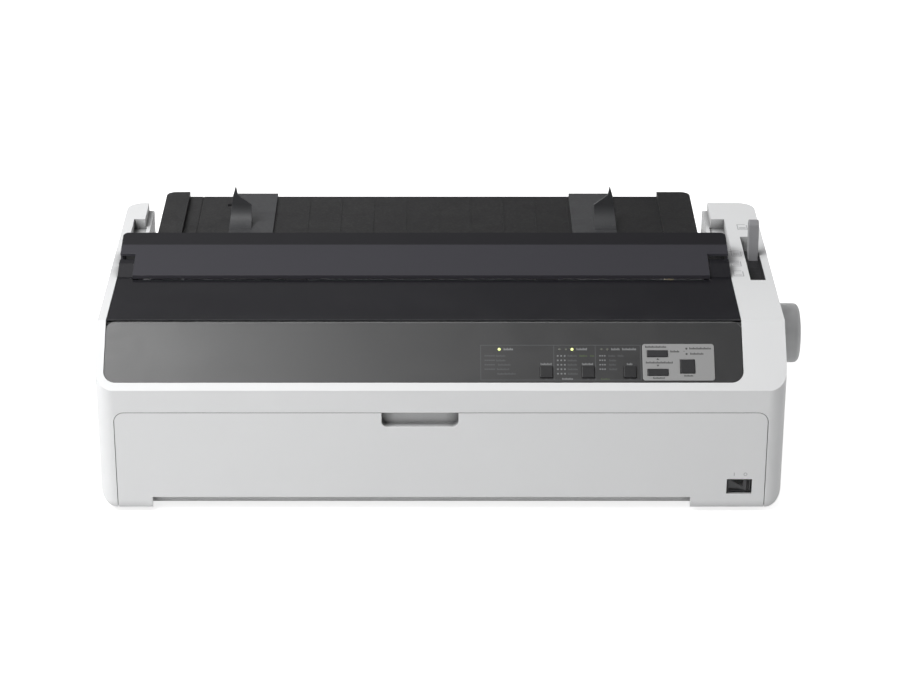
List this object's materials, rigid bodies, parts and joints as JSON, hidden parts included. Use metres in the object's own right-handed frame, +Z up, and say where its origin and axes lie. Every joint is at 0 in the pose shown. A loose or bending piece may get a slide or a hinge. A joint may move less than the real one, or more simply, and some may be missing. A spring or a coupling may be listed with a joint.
{
  "type": "dot matrix printer",
  "caption": "Wide-carriage dot matrix printer with a smoked hinged cover, tear-off flap, rear paper guide, tractors, platen knob and a fold-down front cover.",
  "frame": {"origin": "centre of the bounding box at the underside of the rubber feet, with the paper guide down", "axes": "+X to the right as seen by someone in front of the printer, along its width; +Y from the front face to the rear; +Z up"},
  "size_m": [0.639, 0.401, 0.1988],
  "materials": {
    "case_white": "fine matt texture",
    "smoked_cover": "polished smoked plastic",
    "flap_grey": "satin",
    "panel_grey": "satin",
    "guide_black": "satin",
    "edge_grey": "satin",
    "knob_grey": "satin",
    "lever_grey": "satin",
    "plate_grey": "satin",
    "key_black": "satin",
    "switch_black": "semi-gloss",
    "lamp": "clear tinted",
    "board_green": "lacquered board",
    "board_brown": "phenolic board",
    "zinc_steel": "zinc plated",
    "bright_steel": "ground",
    "motor_steel": "semi-gloss",
    "pulley_alloy": "machined",
    "brass": "machined",
    "gear_ivory": "moulded acetal",
    "rubber_black": "matt",
    "inner_black": "matt",
    "ink_fabric": "inked"
  },
  "bodies": {
    "case": {"lower_case": "case_white", "upper_case": "case_white", "rubber_feet": "rubber_black", "frame_screws": "zinc_steel", "front_inner_panel": "inner_black", "control_panel": "panel_grey", "key_plate": "plate_grey", "status_lamps": "lamp", "panel_board": "board_green", "switch_housing": "switch_black", "base_plate": "zinc_steel", "side_frame_left": "zinc_steel", "side_frame_right": "zinc_steel", "rear_stay": "zinc_steel", "carriage_rod": "bright_steel", "guide_rail": "zinc_steel", "paper_chute": "inner_black", "platen_bushes": "gear_ivory", "feed_motor": "motor_steel", "tractor_rail": "zinc_steel", "carriage_motor": "motor_steel", "idler_bracket": "zinc_steel", "timing_belt": "rubber_black", "ribbon_cartridge": "inner_black", "ink_ribbon": "ink_fabric", "main_board": "board_green", "power_board": "board_brown", "power_inlet": "switch_black", "parallel_socket": "bright_steel", "usb_socket": "bright_steel"},
    "platen": {"platen_shaft": "zinc_steel", "platen_rubber": "rubber_black", "platen_gear": "gear_ivory", "platen_knob": "knob_grey"},
    "pinion": {"feed_pinion": "brass"},
    "idler": {"idler_gear": "gear_ivory"},
    "tractor_drive": {"tractor_shaft_bar": "zinc_steel", "tractor_gear": "gear_ivory"},
    "left_tractor": {"tractor_left": "inner_black"},
    "right_tractor": {"tractor_right": "inner_black"},
    "left_pin_cover": {"tractor_cover_left": "inner_black"},
    "right_pin_cover": {"tractor_cover_right": "inner_black"},
    "belt_drive": {"drive_pulley": "pulley_alloy"},
    "belt_idler": {"idler_pulley": "pulley_alloy"},
    "head_carriage": {"carriage": "inner_black", "print_head": "pulley_alloy"},
    "cover": {"printer_cover": "smoked_cover"},
    "flap": {"tear_off_flap": "flap_grey"},
    "front_door": {"front_cover": "case_white"},
    "guide": {"paper_guide": "guide_black"},
    "left_edge": {"edge_guide_left": "edge_grey"},
    "right_edge": {"edge_guide_right": "edge_grey"},
    "lever": {"release_lever": "lever_grey"},
    "rocker": {"power_rocker": "switch_black"},
    "font_key": {"font_button": "key_black"},
    "pitch_key": {"pitch_button": "key_black"},
    "pause_key": {"pause_button": "key_black"},
    "load_key": {"load_button": "key_black"},
    "feed_key": {"feed_button": "key_black"},
    "tear_key": {"tear_button": "key_black"}
  },
  "joints": [
    {"name": "platen_turn", "type": "hinge", "parent": "case", "child": "platen", "pos_m": [-0.01425, -0.0355, 0.101], "axis": [1, 0, 0], "continuous": true},
    {"name": "pinion_turn", "type": "hinge", "parent": "case", "child": "pinion", "pos_m": [0.20375, -0.00657, 0.06653], "axis": [1, 0, 0], "continuous": true},
    {"name": "idler_turn", "type": "hinge", "parent": "case", "child": "idler", "pos_m": [0.20375, 0.011, 0.10066], "axis": [1, 0, 0], "continuous": true},
    {"name": "tractor_turn", "type": "hinge", "parent": "case", "child": "tractor_drive", "pos_m": [0.20375, 0.0355, 0.112], "axis": [1, 0, 0], "continuous": true},
    {"name": "left_tractor_slide", "type": "slide", "parent": "case", "child": "left_tractor", "axis": [1, 0, 0], "range_m": [-0.09, 0.06]},
    {"name": "right_tractor_slide", "type": "slide", "parent": "case", "child": "right_tractor", "axis": [1, 0, 0], "range_m": [-0.06, 0.09]},
    {"name": "left_pin_cover_hinge", "type": "hinge", "parent": "left_tractor", "child": "left_pin_cover", "pos_m": [-0.16095, 0.0375, 0.1236], "axis": [0, -1, 0], "range_deg": [0, 95]},
    {"name": "right_pin_cover_hinge", "type": "hinge", "parent": "right_tractor", "child": "right_pin_cover", "pos_m": [0.09545, 0.0375, 0.1236], "axis": [0, 1, 0], "range_deg": [0, 95]},
    {"name": "carriage_slide", "type": "slide", "parent": "case", "child": "head_carriage", "axis": [1, 0, 0], "range_m": [0, 0.345]},
    {"name": "belt_drive_turn", "type": "hinge", "parent": "case", "child": "belt_drive", "pos_m": [0.16775, -0.1085, 0.049], "axis": [0, 0, 1], "range_deg": [-2475, 2]},
    {"name": "belt_idler_turn", "type": "hinge", "parent": "case", "child": "belt_idler", "pos_m": [-0.23925, -0.1085, 0.049], "axis": [0, 0, 1], "range_deg": [-2475, 2]},
    {"name": "cover_hinge", "type": "hinge", "parent": "case", "child": "cover", "pos_m": [-0.03275, 0.0103, 0.16], "axis": [-1, 0, 0], "range_deg": [0, 60]},
    {"name": "flap_hinge", "type": "hinge", "parent": "cover", "child": "flap", "pos_m": [-0.03275, -0.0547, 0.1652], "axis": [1, 0, 0], "range_deg": [0, 75]},
    {"name": "front_cover_hinge", "type": "hinge", "parent": "case", "child": "front_door", "pos_m": [-0.01425, -0.1961, 0.0094], "axis": [1, 0, 0], "range_deg": [0, 90]},
    {"name": "paper_guide_hinge", "type": "hinge", "parent": "case", "child": "guide", "pos_m": [-0.027, 0.0695, 0.1375], "axis": [1, 0, 0], "range_deg": [0, 60]},
    {"name": "left_edge_slide", "type": "slide", "parent": "guide", "child": "left_edge", "axis": [1, 0, 0], "range_m": [-0.04, 0.08]},
    {"name": "right_edge_slide", "type": "slide", "parent": "guide", "child": "right_edge", "axis": [1, 0, 0], "range_m": [-0.08, 0.04]},
    {"name": "release_lever_pivot", "type": "hinge", "parent": "case", "child": "lever", "pos_m": [0.27765, -0.01, 0.096], "axis": [1, 0, 0], "range_deg": [-18, 34]},
    {"name": "power_rocker_pivot", "type": "hinge", "parent": "case", "child": "rocker", "pos_m": [0.25215, -0.1895, 0.0255], "axis": [0, 0, 1], "range_deg": [0, 18]},
    {"name": "font_button_press", "type": "slide", "parent": "case", "child": "font_key", "axis": [0, 0.673, -0.7396], "range_m": [0, 0.0009], "stiffness_N_per_m": 400, "springref_m": -0.0006},
    {"name": "pitch_button_press", "type": "slide", "parent": "case", "child": "pitch_key", "axis": [0, 0.673, -0.7396], "range_m": [0, 0.0009], "stiffness_N_per_m": 400, "springref_m": -0.0006},
    {"name": "pause_button_press", "type": "slide", "parent": "case", "child": "pause_key", "axis": [0, 0.673, -0.7396], "range_m": [0, 0.0009], "stiffness_N_per_m": 400, "springref_m": -0.0006},
    {"name": "load_button_press", "type": "slide", "parent": "case", "child": "load_key", "axis": [0, 0.673, -0.7396], "range_m": [0, 0.0009], "stiffness_N_per_m": 400, "springref_m": -0.0006},
    {"name": "feed_button_press", "type": "slide", "parent": "case", "child": "feed_key", "axis": [0, 0.673, -0.7396], "range_m": [0, 0.0009], "stiffness_N_per_m": 400, "springref_m": -0.0006},
    {"name": "tear_button_press", "type": "slide", "parent": "case", "child": "tear_key", "axis": [0, 0.673, -0.7396], "range_m": [0, 0.0009], "stiffness_N_per_m": 400, "springref_m": -0.0006}
  ],
  "couplings": [
    {"joint": "pinion_turn", "follows": "platen_turn", "ratio": -3.2857},
    {"joint": "idler_turn", "follows": "platen_turn", "ratio": -2.875},
    {"joint": "tractor_turn", "follows": "platen_turn", "ratio": 2.3},
    {"joint": "belt_drive_turn", "follows": "carriage_slide", "rad_per_m": -125},
    {"joint": "belt_idler_turn", "follows": "carriage_slide", "rad_per_m": -125}
  ]
}
